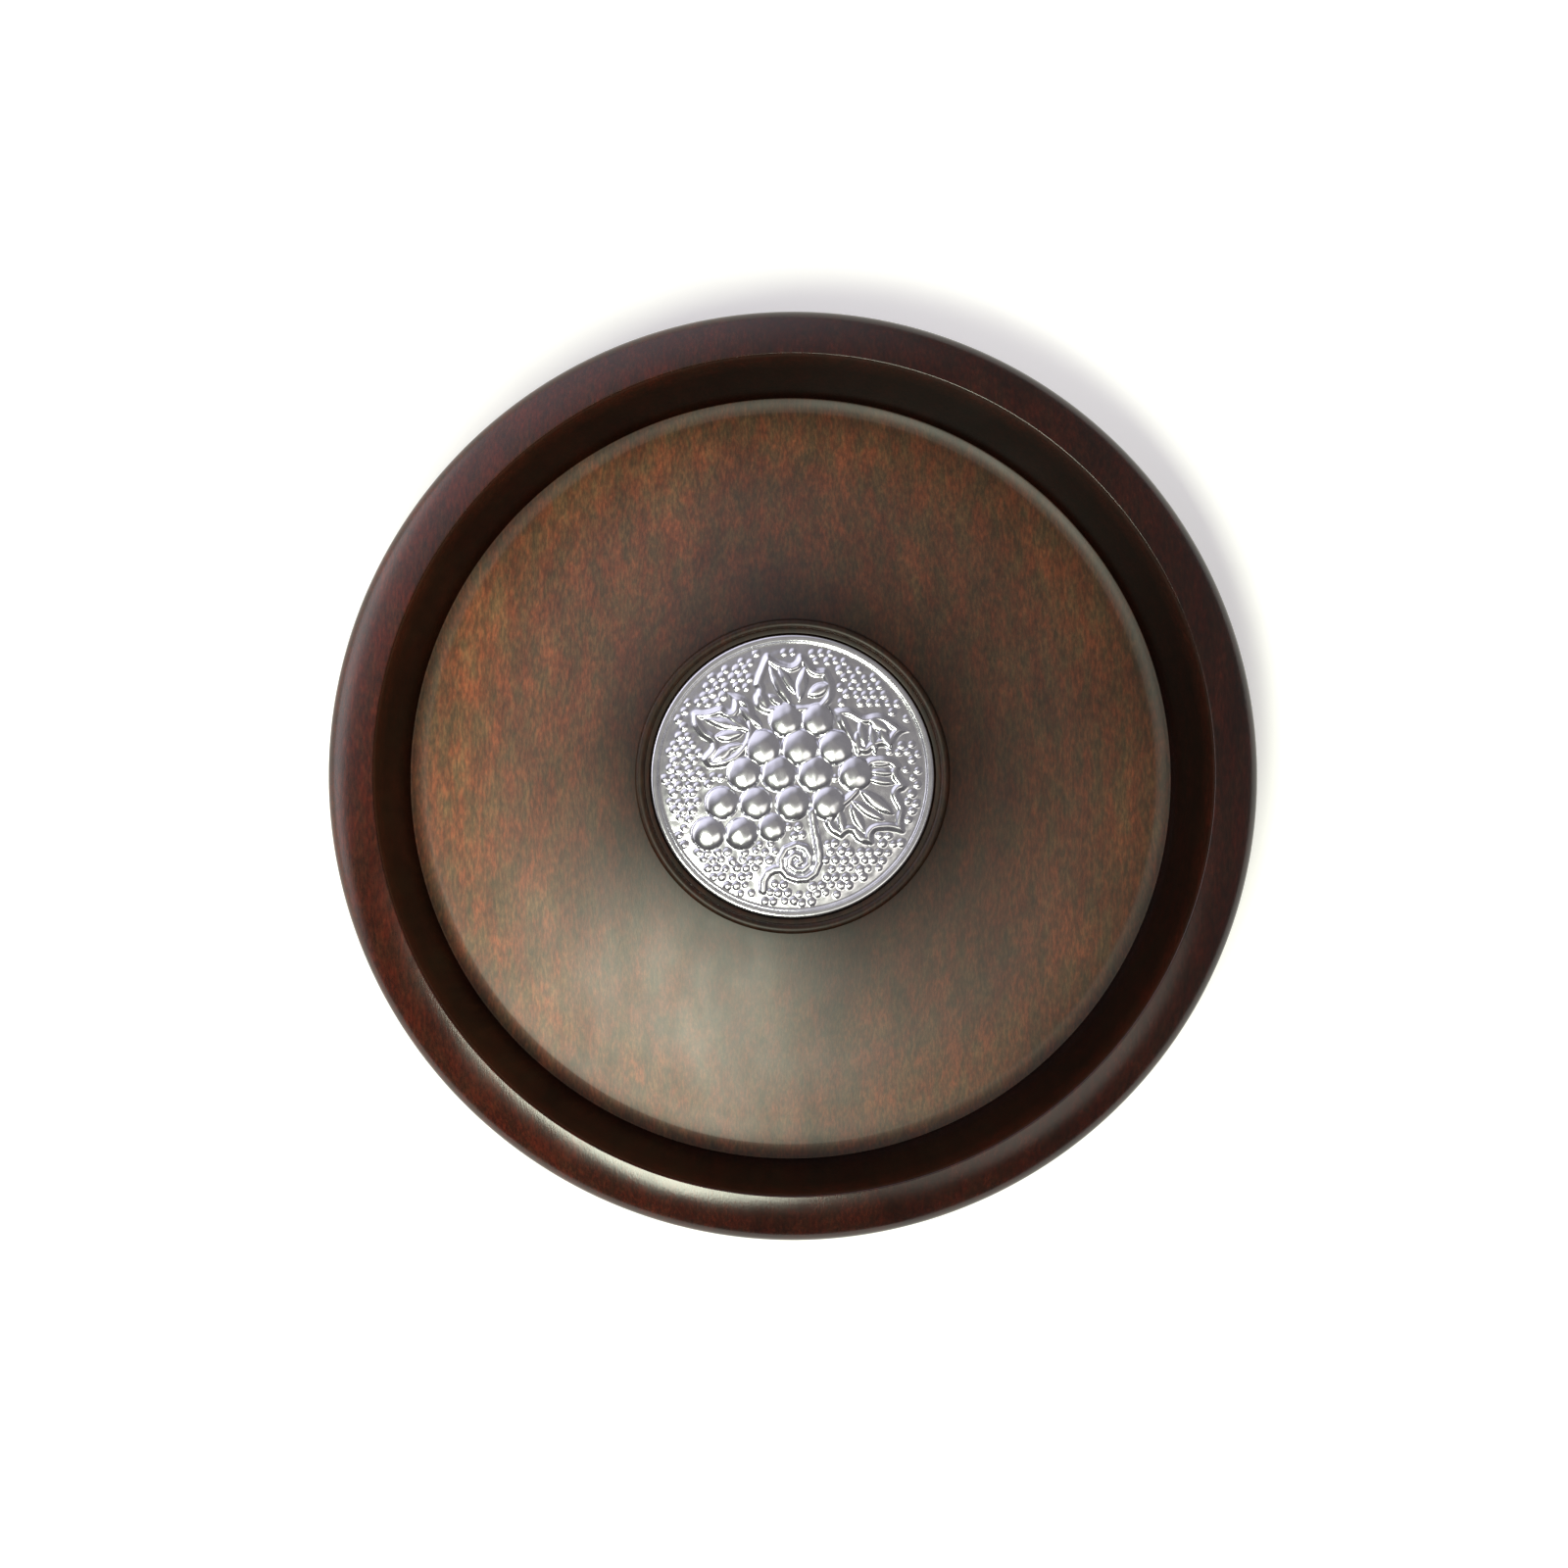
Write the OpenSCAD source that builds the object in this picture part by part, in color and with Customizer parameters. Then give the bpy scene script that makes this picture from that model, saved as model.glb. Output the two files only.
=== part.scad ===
// Turned hardwood offering plate with a raised centre boss and an embossed metal medallion.
// Units are millimetres. The origin is the centre of the base, on the surface that the plate
// stands on, and +Z is the turning axis. Every sub-part is a separate node.

/* [Plate] */
// Outside diameter at the widest point of the rim
plate_d = 305; // [290:1:330]
// Overall height, from the felt to the top edge of the rim
plate_h = 50; // [49:0.5:60]
// Depth of the well, from the top edge of the rim to the lowest ring of the floor
well_depth = 30; // [28:0.5:33]

/* [Rim] */
// Radial width of the rim, from its inner top edge to the widest point
rim_w = 15.5; // [13:0.5:19]
// Half width of the ellipse that the top of the rim rolls over
roll_a = 29; // [24:0.5:32]
// Half height of the same ellipse
roll_b = 11; // [9:0.2:13]
// Horizontal run of the inner wall, from its foot to the top edge
wall_run = 9.8; // [6:0.2:13]
// Radius of the broken top edge
edge_r = 0.5; // [0.2:0.1:1]

/* [Floor] */
// Rise of the floor, from its lowest ring to the foot of the bead
floor_rise = 17.5; // [12:0.5:22]
// Share of that rise that is a straight cone; the rest steepens towards the bead
cone_share = 0.8; // [0.1:0.02:0.96]
// Power of the steepening curve
flare = 1.8; // [1.4:0.1:4]
// Horizontal run of the cove that joins the floor to the wall
cove_run = 4.8; // [3:0.2:7]
// Height of the cove
cove_h = 1.1; // [0.8:0.1:2]

/* [Base] */
// Diameter of the foot
foot_d = 208; // [160:1:220]
// Height of the foot below the curve of the underside
foot_h = 5.5; // [4:0.5:8]
// Thickness of the felt
felt_t = 2; // [1.2:0.1:3]
// How far the felt stands out below the foot
felt_proud = 1; // [0.5:0.1:1.1]

/* [Medallion] */
// Diameter of the medallion
medallion_d = 93.6; // [80:0.2:100]
// Height of the plain edge of the medallion above the shelf around it
edge_proud = 0.5; // [0:0.1:1]
// Rise of the middle of the medallion above its plain edge
medallion_dome = 3; // [1.5:0.1:5]
// Thickness of the medallion at its edge
medallion_t = 3.6; // [3:0.1:5]
// Thickness of the metal skin
skin_t = 0.6; // [0.4:0.1:0.8]
// Height of the grapes above the domed field
grape_h = 2; // [1.6:0.1:2.8]
// Thickness of the adhesive pad
pad_t = 0.8; // [0.4:0.1:1.2]

/* [Hidden] */
$fn = 120;

STEPS = 20;        // points on each curved stretch of a profile
FIT = 0.1;         // clearance of the tongue in its groove
FILM = 0.05;       // adhesive film between bonded faces

plate_r = plate_d / 2;
lip_r = plate_r - rim_w;                      // inner top edge of the rim
wall_foot_r = lip_r - wall_run;               // where the inner wall meets the cove
floor_r = wall_foot_r - cove_run;             // lowest ring of the floor
floor_z = plate_h - well_depth;
joint_z = floor_z + cove_h;                   // glue joint between rim and floor
roll_x = plate_r - roll_a;                    // centre of the rolled ellipse
roll_z = plate_h - roll_b * sqrt(1 - pow((lip_r - roll_x) / roll_a, 2));

medallion_r = medallion_d / 2;
recess_gap = 0.35;                            // clearance round the medallion
recess_r = medallion_r + recess_gap;
shelf_w = 1.45;                               // level ring between the medallion and the bead
shelf_lift = 0.4;                             // height of the shelf above the foot of the bead
shelf_bevel = 0.25;
bead_r = 1.65;                                // section radius of the bead
bead_x = recess_r + shelf_w + bead_r;
bead_outer = 12;                              // the bead's arc, in degrees
bead_inner = 166;
crease_r = bead_x + bead_r;                   // foot of the bead, where the floor ends
crease_z = floor_z + floor_rise;
shelf_z = crease_z + shelf_lift;

face_z = shelf_z + edge_proud;                // top of the medallion's plain edge
field_drop = 0.5;
field_z = face_z - field_drop;                // edge of the medallion's domed ground
back_z = face_z - medallion_t;                // back of the medallion
recess_z = back_z - pad_t;                    // floor of the recess
band_w = 3.4;                                 // width of the plain edge, with its rounding
band_step = 1.1;                              // where the plain edge steps down to the ground
band_slope = 0.4;
edge_round_w = 1.1;                           // rounding of the medallion's outer edge
edge_round_h = 1;
field_r = medallion_r - band_w;
dome_r = (pow(field_r, 2) + pow(medallion_dome, 2)) / (2 * medallion_dome);
dome_z = field_z + medallion_dome - dome_r;   // centre of the dome's sphere
pad_inset = 2;
under_cut = 1;                                // how far helper shapes start outside the kept part
lap = 0.6;                                    // overlap of the plain edge under the domed ground
ledge = 0.05;                                 // step from the domed ground to the plain edge

foot_r = foot_d / 2;
foot_z = felt_proud;
foot_round = 1;
foot_fillet = 3;
belly_x = foot_r + foot_fillet;               // where the curve of the underside starts
belly_z = foot_z + foot_h;
belly_a = plate_r - belly_x;
belly_b = roll_z - belly_z;
belly_start = -88;                            // degrees; the fillet ends just short of level
foot_border = 8;                              // width of bare wood round the felt
felt_r = foot_r - foot_border;
felt_gap = 0.3;

tongue_in = wall_foot_r + 5;
tongue_w = 6;
tongue_h = 3;

leaf_h = 0.7;                                 // relief of the leaves above the ground
stem_h = 0.9;
stem_w = 1.8;

WOOD = [0.30, 0.16, 0.10];
DARK_WOOD = [0.22, 0.09, 0.06];
SILVER = [0.86, 0.87, 0.90];
RESIN = [0.75, 0.72, 0.64];
FOAM = [0.92, 0.92, 0.90];
FELT = [0.20, 0.05, 0.07];

// Points of an ellipse about [x, z], from angle a0 to angle a1.
function arc(x, z, a, b, a0, a1) =
    [for (i = [0:STEPS]) let (t = a0 + (a1 - a0) * i / STEPS) [x + a * cos(t), z + b * sin(t)]];

// Height of the floor at a share t of the way from its lowest ring to the bead.
function floor_at(t) = floor_z + floor_rise * (cone_share * t + (1 - cone_share) * pow(t, flare));

// The floor from its lowest ring in to the bead.
function floor_curve() =
    [for (i = [0:2 * STEPS]) let (t = i / (2 * STEPS))
        [floor_r + (crease_r - floor_r) * t, floor_at(t)]];

// The cove is a circular arc that leaves the floor level and ends at the glue joint.
cove_turn = 2 * atan(cove_h / cove_run);
cove_r = cove_run / sin(cove_turn);
function cove() = arc(floor_r, floor_z + cove_r, cove_r, cove_r, cove_turn - 90, -90);

// Angle on the underside's ellipse where it crosses the glue joint.
joint_turn = -asin((roll_z - joint_z) / belly_b);

// A list of points without its first one.
function rest(points) = [for (i = [1:len(points) - 1]) points[i]];

module floor_disc() {
    seat_z = foot_z + felt_t - felt_proud;
    outline = concat(
        [[0, seat_z], [felt_r + felt_gap, seat_z], [felt_r + felt_gap, foot_z]],
        [[foot_r - foot_round, foot_z], [foot_r, foot_z + foot_round]],
        arc(belly_x, belly_z - foot_fillet, foot_fillet, foot_fillet, 180, 90),
        arc(belly_x, roll_z, belly_a, belly_b, belly_start, joint_turn),
        [[tongue_in + tongue_w, joint_z], [tongue_in + tongue_w, joint_z + tongue_h]],
        [[tongue_in, joint_z + tongue_h], [tongue_in, joint_z]],
        cove(),
        rest(floor_curve()),
        arc(bead_x, crease_z, bead_r, bead_r, bead_outer, bead_inner),
        [[recess_r + shelf_bevel, shelf_z], [recess_r, shelf_z - shelf_bevel]],
        [[recess_r, recess_z], [0, recess_z]]
    );
    color(WOOD) rotate_extrude() polygon(outline);
}

module rim_ring() {
    groove_z = joint_z + tongue_h + FIT;
    outline = concat(
        [[wall_foot_r, joint_z], [tongue_in - FIT, joint_z], [tongue_in - FIT, groove_z]],
        [[tongue_in + tongue_w + FIT, groove_z], [tongue_in + tongue_w + FIT, joint_z]],
        arc(belly_x, roll_z, belly_a, belly_b, joint_turn, -1),
        arc(roll_x, roll_z, roll_a, roll_b, 0, acos((lip_r + edge_r - roll_x) / roll_a)),
        [[lip_r - edge_r / 2, plate_h - edge_r]]
    );
    color(DARK_WOOD) rotate_extrude() polygon(outline);
}

// Rows of the grape bunch, in parts of the medallion's radius: height, then each grape's place
// across and its radius.
GRAPES = [
    [0.395, [[-0.05, 0.122], [0.175, 0.12]]],
    [0.20, [[-0.21, 0.128], [0.05, 0.13], [0.30, 0.125]]],
    [0.015, [[-0.345, 0.12], [-0.10, 0.126], [0.155, 0.126], [0.44, 0.122]]],
    [-0.19, [[-0.50, 0.118], [-0.26, 0.116], [0, 0.124], [0.25, 0.12]]],
    [-0.36, [[-0.145, 0.098]]],
    [-0.405, [[-0.595, 0.118], [-0.36, 0.114]]]
];
FULL_GRAPE = 0.12;                            // radius of a grape that stands grape_h high

// Leaves of the bunch: base, heading of the middle lobe, and length.
LEAVES = [
    [[0.04, 0.46], 93, 0.43],
    [[-0.26, 0.28], 150, 0.47],
    [[0.42, 0.25], 24, 0.43],
    [[0.36, -0.12], -33, 0.50]
];
LOBE_TURNS = [-64, -34, 0, 34, 64];
LOBE_SHRINK = 220;                            // degrees of turn that would shorten a lobe to nothing
LOBE_WIDTH = 0.46;                            // width of a lobe, in parts of the leaf's length
STEM_X = 0.15;
CURL = [0.04, -0.60, 0.11];                   // place and radius of the curl under the bunch

// The ball whose top is the domed ground raised by lift.
module dome_ball(lift) {
    translate([0, 0, dome_z]) sphere(dome_r + lift);
}

// Everything above the domed ground raised by lift, inside the plain edge.
module above_dome(lift) {
    difference() {
        translate([0, 0, field_z - under_cut])
            cylinder(r = field_r - under_cut, h = under_cut + medallion_dome + 2 * grape_h);
        dome_ball(lift);
    }
}

// The domes of the grapes, with their surface moved inwards by inset, above the ground raised
// by lift.
module grapes(inset, lift) {
    intersection() {
        for (row = GRAPES, grape = row[1]) {
            x = grape[0] * medallion_r;
            y = row[0] * medallion_r;
            cap_r = grape[1] * medallion_r;
            cap_h = grape_h * grape[1] / FULL_GRAPE;
            ball_r = (cap_r * cap_r + cap_h * cap_h) / (2 * cap_h);
            ground_z = dome_z + sqrt(dome_r * dome_r - x * x - y * y);
            translate([x, y, ground_z + cap_h - ball_r]) sphere(ball_r - inset);
        }
        above_dome(lift);
    }
}

// A layer that follows the domed ground, from half the skin below it to height above it, cut to
// the outline of its children.
module relief(height) {
    difference() {
        intersection() {
            translate([0, 0, back_z]) linear_extrude(2 * medallion_t + medallion_dome) children();
            dome_ball(height);
        }
        dome_ball(-skin_t / 2);
    }
}

// A pointed lobe that lies along +X from the origin.
module lobe(length, width) {
    polygon([[0, -width / 3], [length / 2, -width / 2], [length, 0],
             [length / 2, width / 2], [0, width / 3]]);
}

module leaf(size) {
    for (turn = LOBE_TURNS)
        rotate(turn) lobe(size * (1 - abs(turn) / LOBE_SHRINK), size * LOBE_WIDTH);
}

module leaves() {
    relief(leaf_h)
        for (item = LEAVES)
            translate(item[0] * medallion_r) rotate(item[1]) leaf(item[2] * medallion_r);
}

// The stem runs down from the bunch and ends in a curl.
module stem() {
    curl_r = CURL[2] * medallion_r;
    stem_top = -0.24 * medallion_r;
    relief(stem_h) {
        translate([STEM_X * medallion_r - stem_w / 2, CURL[1] * medallion_r])
            square([stem_w, stem_top - CURL[1] * medallion_r]);
        translate([CURL[0], CURL[1]] * medallion_r) difference() {
            circle(curl_r + stem_w / 2);
            circle(curl_r - stem_w / 2);
        }
    }
}

// The domed ground of the metal, as thick as the skin.
module dome_skin() {
    difference() {
        intersection() {
            dome_ball(0);
            translate([0, 0, field_z - 2 * skin_t])
                cylinder(r = field_r, h = 2 * skin_t + 2 * medallion_dome);
        }
        dome_ball(-skin_t);
    }
}

// The plain edge of the metal, turned over and down to the back. It overlaps the domed ground.
module edge_skin() {
    step_r = medallion_r - edge_round_w - band_step;
    side_r = medallion_r - skin_t;
    outline = concat(
        [[field_r - lap, field_z - lap / 2], [field_r - lap, field_z - ledge]],
        [[step_r - band_slope, field_z - ledge], [step_r, face_z]],
        arc(medallion_r - edge_round_w, face_z - edge_round_h, edge_round_w, edge_round_h, 90, 0),
        [[medallion_r, back_z], [side_r, back_z], [side_r, face_z - edge_round_h - skin_t]],
        [[field_r + lap / 2, field_z - skin_t - ledge]]
    );
    rotate_extrude() polygon(outline);
}

module medallion_face() {
    color(SILVER) difference() {
        union() {
            dome_skin();
            edge_skin();
            grapes(0, -skin_t / 2);
            leaves();
            stem();
        }
        grapes(skin_t, -1.5 * skin_t);
    }
}

module medallion_core() {
    side_r = medallion_r - skin_t - FILM;
    top_z = face_z - edge_round_h - skin_t - FILM;
    ball_r = dome_r - skin_t - FILM;
    reach = asin((field_r - lap) / ball_r);
    outline = concat(arc(0, dome_z, ball_r, ball_r, 90, 90 - reach),
                     [[field_r, top_z], [side_r, top_z], [side_r, back_z], [0, back_z]]);
    color(RESIN) {
        rotate_extrude() polygon(outline);
        grapes(skin_t + FILM, -1.5 * skin_t);
    }
}

module medallion_pad() {
    color(FOAM) translate([0, 0, recess_z]) cylinder(r = medallion_r - pad_inset, h = pad_t);
}

module base_felt() {
    color(FELT) cylinder(r = felt_r, h = felt_t);
}

floor_disc();
rim_ring();
medallion_face();
medallion_core();
medallion_pad();
base_felt();
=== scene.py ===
"""Looks of the offering plate: lathe-turned wood, an embossed silver medallion and a felt base.

Everything is in metres, in the frame of the CAD model. Heights of the joints come from the boxes
of the CAD nodes; the other sizes repeat the driving dimensions of part.scad.
"""

import math

import bmesh
import bpy
import numpy as np
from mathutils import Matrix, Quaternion, Vector


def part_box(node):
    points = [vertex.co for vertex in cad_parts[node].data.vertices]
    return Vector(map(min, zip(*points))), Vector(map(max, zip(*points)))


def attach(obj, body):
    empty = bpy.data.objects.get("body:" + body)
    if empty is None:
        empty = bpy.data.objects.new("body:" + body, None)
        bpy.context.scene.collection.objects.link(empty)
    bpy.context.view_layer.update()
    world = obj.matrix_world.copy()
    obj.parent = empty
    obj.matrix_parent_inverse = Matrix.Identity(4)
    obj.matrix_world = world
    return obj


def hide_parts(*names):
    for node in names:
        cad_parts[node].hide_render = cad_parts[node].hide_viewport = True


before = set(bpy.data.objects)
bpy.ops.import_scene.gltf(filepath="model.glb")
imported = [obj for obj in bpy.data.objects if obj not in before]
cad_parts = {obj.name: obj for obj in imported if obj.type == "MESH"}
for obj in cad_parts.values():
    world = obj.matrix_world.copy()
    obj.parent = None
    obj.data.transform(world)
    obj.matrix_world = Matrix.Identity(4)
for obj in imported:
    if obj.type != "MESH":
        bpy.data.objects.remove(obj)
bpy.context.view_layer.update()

MM = 0.001

# ---------------------------------------------------------------- sizes, from the frame
rim_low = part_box("rim_ring")[0]
disc_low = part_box("floor_disc")[0]
face_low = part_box("medallion_face")[0]
pad_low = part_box("medallion_pad")[0]
felt_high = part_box("base_felt")[1]

PLATE_R = 152.5 * MM
PLATE_H = 50 * MM
JOINT_Z = rim_low.z                       # glue joint between the rim and the floor
FOOT_Z = disc_low.z
RECESS_Z = pad_low.z                      # bottom of the recess, on which the pad lies
BACK_Z = face_low.z                       # back of the medallion
FELT_R = felt_high.x
FELT_T = felt_high.z

# Rim and wall
RIM_W = 15.5 * MM
ROLL_A = 29 * MM
ROLL_B = 11 * MM
WALL_RUN = 9.8 * MM
EDGE_R = 0.5 * MM
LIP_R = PLATE_R - RIM_W
ROLL_X = PLATE_R - ROLL_A
ROLL_Z = PLATE_H - ROLL_B * math.sqrt(1 - ((LIP_R - ROLL_X) / ROLL_A) ** 2)
WALL_FOOT_R = LIP_R - WALL_RUN

# Floor, cove and bead
COVE_RUN = 4.8 * MM
COVE_H = 1.1 * MM
FLOOR_RISE = 17.5 * MM
CONE_SHARE = 0.8                          # share of the rise that is a straight cone
FLARE = 1.8                               # power of the rest, which steepens towards the bead
FLOOR_R = WALL_FOOT_R - COVE_RUN
FLOOR_Z = JOINT_Z - COVE_H
MEDALLION_R = 46.8 * MM
RECESS_R = MEDALLION_R + 0.35 * MM
RECESS_BREAK = 0.3 * MM                   # broken edge of the recess
SHELF_W = 1.45 * MM
BEAD_R = 1.65 * MM
BEAD_X = RECESS_R + SHELF_W + BEAD_R
CREASE_R = BEAD_X + BEAD_R
CREASE_Z = FLOOR_Z + FLOOR_RISE
SHELF_Z = CREASE_Z + 0.4 * MM
FACE_Z = SHELF_Z + 0.5 * MM               # top of the medallion's plain edge
FIELD_Z = FACE_Z - 0.5 * MM               # edge of its embossed field
FIELD_DOME = 3.0 * MM                     # how far the middle of the field stands above its edge

# Foot and underside
FOOT_R = 104 * MM
FOOT_H = 5.5 * MM
FOOT_EDGE = 1 * MM                        # rounding of the foot's outer edge
FOOT_FILLET = 3 * MM                      # hollow between the foot and the belly
FELT_GAP = 0.3 * MM
FELT_BREAK = 0.15 * MM                    # broken edge of the felt's seat
BELLY_X = FOOT_R + FOOT_FILLET
BELLY_Z = FOOT_Z + FOOT_H
BELLY_A = PLATE_R - BELLY_X
BELLY_B = ROLL_Z - BELLY_Z
TONGUE_IN = WALL_FOOT_R + 5 * MM
TONGUE_W = 6 * MM
TONGUE_H = 3 * MM
TONGUE_FIT = 0.1 * MM

GLUE_LINE = 0.12 * MM                     # width of the fine groove along the glue joint
JOINT_TURN = -math.degrees(math.asin((ROLL_Z - JOINT_Z) / BELLY_B))
JOINT_R = BELLY_X + BELLY_A * math.cos(math.radians(JOINT_TURN))
COVE_TURN = 2 * math.degrees(math.atan(COVE_H / COVE_RUN))
COVE_R = COVE_RUN / math.sin(math.radians(COVE_TURN))

WOOD_TURNS = 512                          # segments round each turned piece
SMALL_TURNS = 256                         # the same for the medallion's edge and the felt
FLOOR_STEPS = 64                          # rings of the floor
TINY = 1e-7                               # closer than this counts as the same point


# ---------------------------------------------------------------- geometry helpers
def arc(x, z, a, b, start, end, steps):
    """Points of an ellipse about (x, z), from one angle to another, in degrees."""
    angles = np.radians(np.linspace(start, end, steps + 1))
    return [(x + a * math.cos(t), z + b * math.sin(t)) for t in angles]


def straight(start, end, steps):
    """Points along a straight line, without its first point."""
    (x0, z0), (x1, z1) = start, end
    return [(x0 + (x1 - x0) * i / steps, z0 + (z1 - z0) * i / steps) for i in range(1, steps + 1)]


def new_object(name, verts, faces):
    """A smooth-shaded mesh object in the scene."""
    mesh = bpy.data.meshes.new(name)
    mesh.from_pydata([tuple(v) for v in verts], [], [tuple(f) for f in faces])
    mesh.validate()
    mesh.update()
    mesh.polygons.foreach_set("use_smooth", [True] * len(mesh.polygons))
    obj = bpy.data.objects.new(name, mesh)
    bpy.context.scene.collection.objects.link(obj)
    return obj


def lathe_arrays(profile, turns):
    """Vertices and faces of a closed outline turned about Z. Points on the axis become one vertex."""
    verts, rows = [], []
    for r, z in profile:
        if r < TINY:
            rows.append([len(verts)] * turns)
            verts.append((0.0, 0.0, z))
        else:
            rows.append(list(range(len(verts), len(verts) + turns)))
            angles = np.arange(turns) * 2 * math.pi / turns
            verts += [(r * math.cos(t), r * math.sin(t), z) for t in angles]
    faces = []
    for i in range(len(rows) - 1):
        low, high = rows[i], rows[i + 1]
        if low[0] == low[1] and high[0] == high[1]:
            continue
        for j in range(turns):
            k = (j + 1) % turns
            corners = [low[j], low[k], high[k], high[j]]
            faces.append(tuple(dict.fromkeys(corners)))
    return verts, faces


def closed(profile):
    """The outline with its first point again at the end, for a ring that doesn't touch the axis."""
    return profile + [profile[0]]


def merge_ring(obj):
    """Joins the doubled first and last row of a closed ring, and points the faces outwards."""
    bm = bmesh.new()
    bm.from_mesh(obj.data)
    bmesh.ops.remove_doubles(bm, verts=bm.verts, dist=TINY)
    bmesh.ops.recalc_face_normals(bm, faces=bm.faces)
    bm.to_mesh(obj.data)
    bm.free()
    obj.data.polygons.foreach_set("use_smooth", [True] * len(obj.data.polygons))
    obj.data.update()


def sharp_by_angle(obj, degrees):
    """Splits the shading at edges sharper than the angle, so that corners stay crisp."""
    obj.data.set_sharp_from_angle(angle=math.radians(degrees))


def turned(name, profile, turns, corner):
    """A solid of revolution; edges sharper than the corner angle stay crisp."""
    verts, faces = lathe_arrays(profile, turns)
    obj = new_object(name, verts, faces)
    merge_ring(obj)
    sharp_by_angle(obj, corner)
    return obj


# ---------------------------------------------------------------- turned wood
def floor_height(t):
    """Height of the floor at a share t of the way from its lowest ring to the bead."""
    return FLOOR_Z + FLOOR_RISE * (CONE_SHARE * t + (1 - CONE_SHARE) * t ** FLARE)


def disc_profile():
    """From the axis along the underside, up the belly, over the floor and back into the recess."""
    seat_r = FELT_R + FELT_GAP
    foot_x, foot_z = FOOT_R - FOOT_EDGE, FOOT_Z + FOOT_EDGE
    points = [(0, FELT_T)]
    points += straight((0, FELT_T), (seat_r, FELT_T), 6)
    points += [(seat_r, FOOT_Z + FELT_BREAK), (seat_r + FELT_BREAK, FOOT_Z)]
    points += straight(points[-1], (foot_x, FOOT_Z), 4)
    points += arc(foot_x, foot_z, FOOT_EDGE, FOOT_EDGE, -90, 0, 6)[1:]
    points += arc(BELLY_X, BELLY_Z - FOOT_FILLET, FOOT_FILLET, FOOT_FILLET, 180, 90, 10)
    points += arc(BELLY_X, ROLL_Z, BELLY_A, BELLY_B, -88, JOINT_TURN - 0.3, 34)
    points += [(JOINT_R - GLUE_LINE, JOINT_Z)]
    points += straight(points[-1], (TONGUE_IN + TONGUE_W, JOINT_Z), 2)
    points += [(TONGUE_IN + TONGUE_W, JOINT_Z + TONGUE_H), (TONGUE_IN, JOINT_Z + TONGUE_H)]
    points += [(TONGUE_IN, JOINT_Z), (WALL_FOOT_R + GLUE_LINE, JOINT_Z)]
    cove = arc(FLOOR_R, FLOOR_Z + COVE_R, COVE_R, COVE_R, -90 + COVE_TURN, -90, 14)
    points += [(WALL_FOOT_R - 0.02 * MM, JOINT_Z - GLUE_LINE)] + cove[1:]
    for i in range(1, FLOOR_STEPS + 1):
        t = i / FLOOR_STEPS
        points.append((FLOOR_R + (CREASE_R - FLOOR_R) * t, floor_height(t)))
    points += arc(BEAD_X, CREASE_Z, BEAD_R, BEAD_R, 12, 166, 22)
    points += [(RECESS_R + RECESS_BREAK, SHELF_Z)]
    points += [(RECESS_R + RECESS_BREAK / 3, SHELF_Z - 0.07 * MM)]
    points += [(RECESS_R, SHELF_Z - RECESS_BREAK), (RECESS_R, RECESS_Z)]
    points += straight((RECESS_R, RECESS_Z), (0, RECESS_Z), 4)
    return points


def ring_profile():
    """From the foot of the inner wall along the groove, up the outside and back down the wall."""
    inner, outer = TONGUE_IN - TONGUE_FIT, TONGUE_IN + TONGUE_W + TONGUE_FIT
    groove_z = JOINT_Z + TONGUE_H + TONGUE_FIT
    points = [(WALL_FOOT_R + GLUE_LINE, JOINT_Z)]
    points += [(inner, JOINT_Z), (inner, groove_z), (outer, groove_z), (outer, JOINT_Z)]
    points += straight(points[-1], (JOINT_R - GLUE_LINE, JOINT_Z), 2)
    points += arc(BELLY_X, ROLL_Z, BELLY_A, BELLY_B, JOINT_TURN + 0.3, -1, 20)
    lip_angle = math.degrees(math.acos((LIP_R + EDGE_R - ROLL_X) / ROLL_A))
    points += arc(ROLL_X, ROLL_Z, ROLL_A, ROLL_B, 0, lip_angle, 40)
    top = points[-1][1]
    points += arc(LIP_R + EDGE_R, top - EDGE_R, EDGE_R, EDGE_R, 84, 200, 8)
    points += straight(points[-1], (WALL_FOOT_R + 0.05 * MM, JOINT_Z + GLUE_LINE), 24)
    return points


# ---------------------------------------------------------------- medallion relief
# Places are in parts of the medallion's radius, x to the right and y up.
GRAPES = [
    (0.395, [(-0.05, 0.122), (0.175, 0.120)]),
    (0.20, [(-0.21, 0.128), (0.05, 0.13), (0.30, 0.125)]),
    (0.015, [(-0.345, 0.120), (-0.10, 0.126), (0.155, 0.126), (0.44, 0.122)]),
    (-0.19, [(-0.50, 0.118), (-0.26, 0.116), (0.0, 0.124), (0.25, 0.120)]),
    (-0.405, [(-0.595, 0.118), (-0.36, 0.114)]),
    (-0.36, [(-0.145, 0.098)]),
]
GRAPE_H = 2.0 * MM
GRAPE_FULL = 0.12                         # radius of a grape that stands GRAPE_H high
GRAPE_POWER = 0.60                        # 0.5 is a half ellipse; more is softer at its foot

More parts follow.
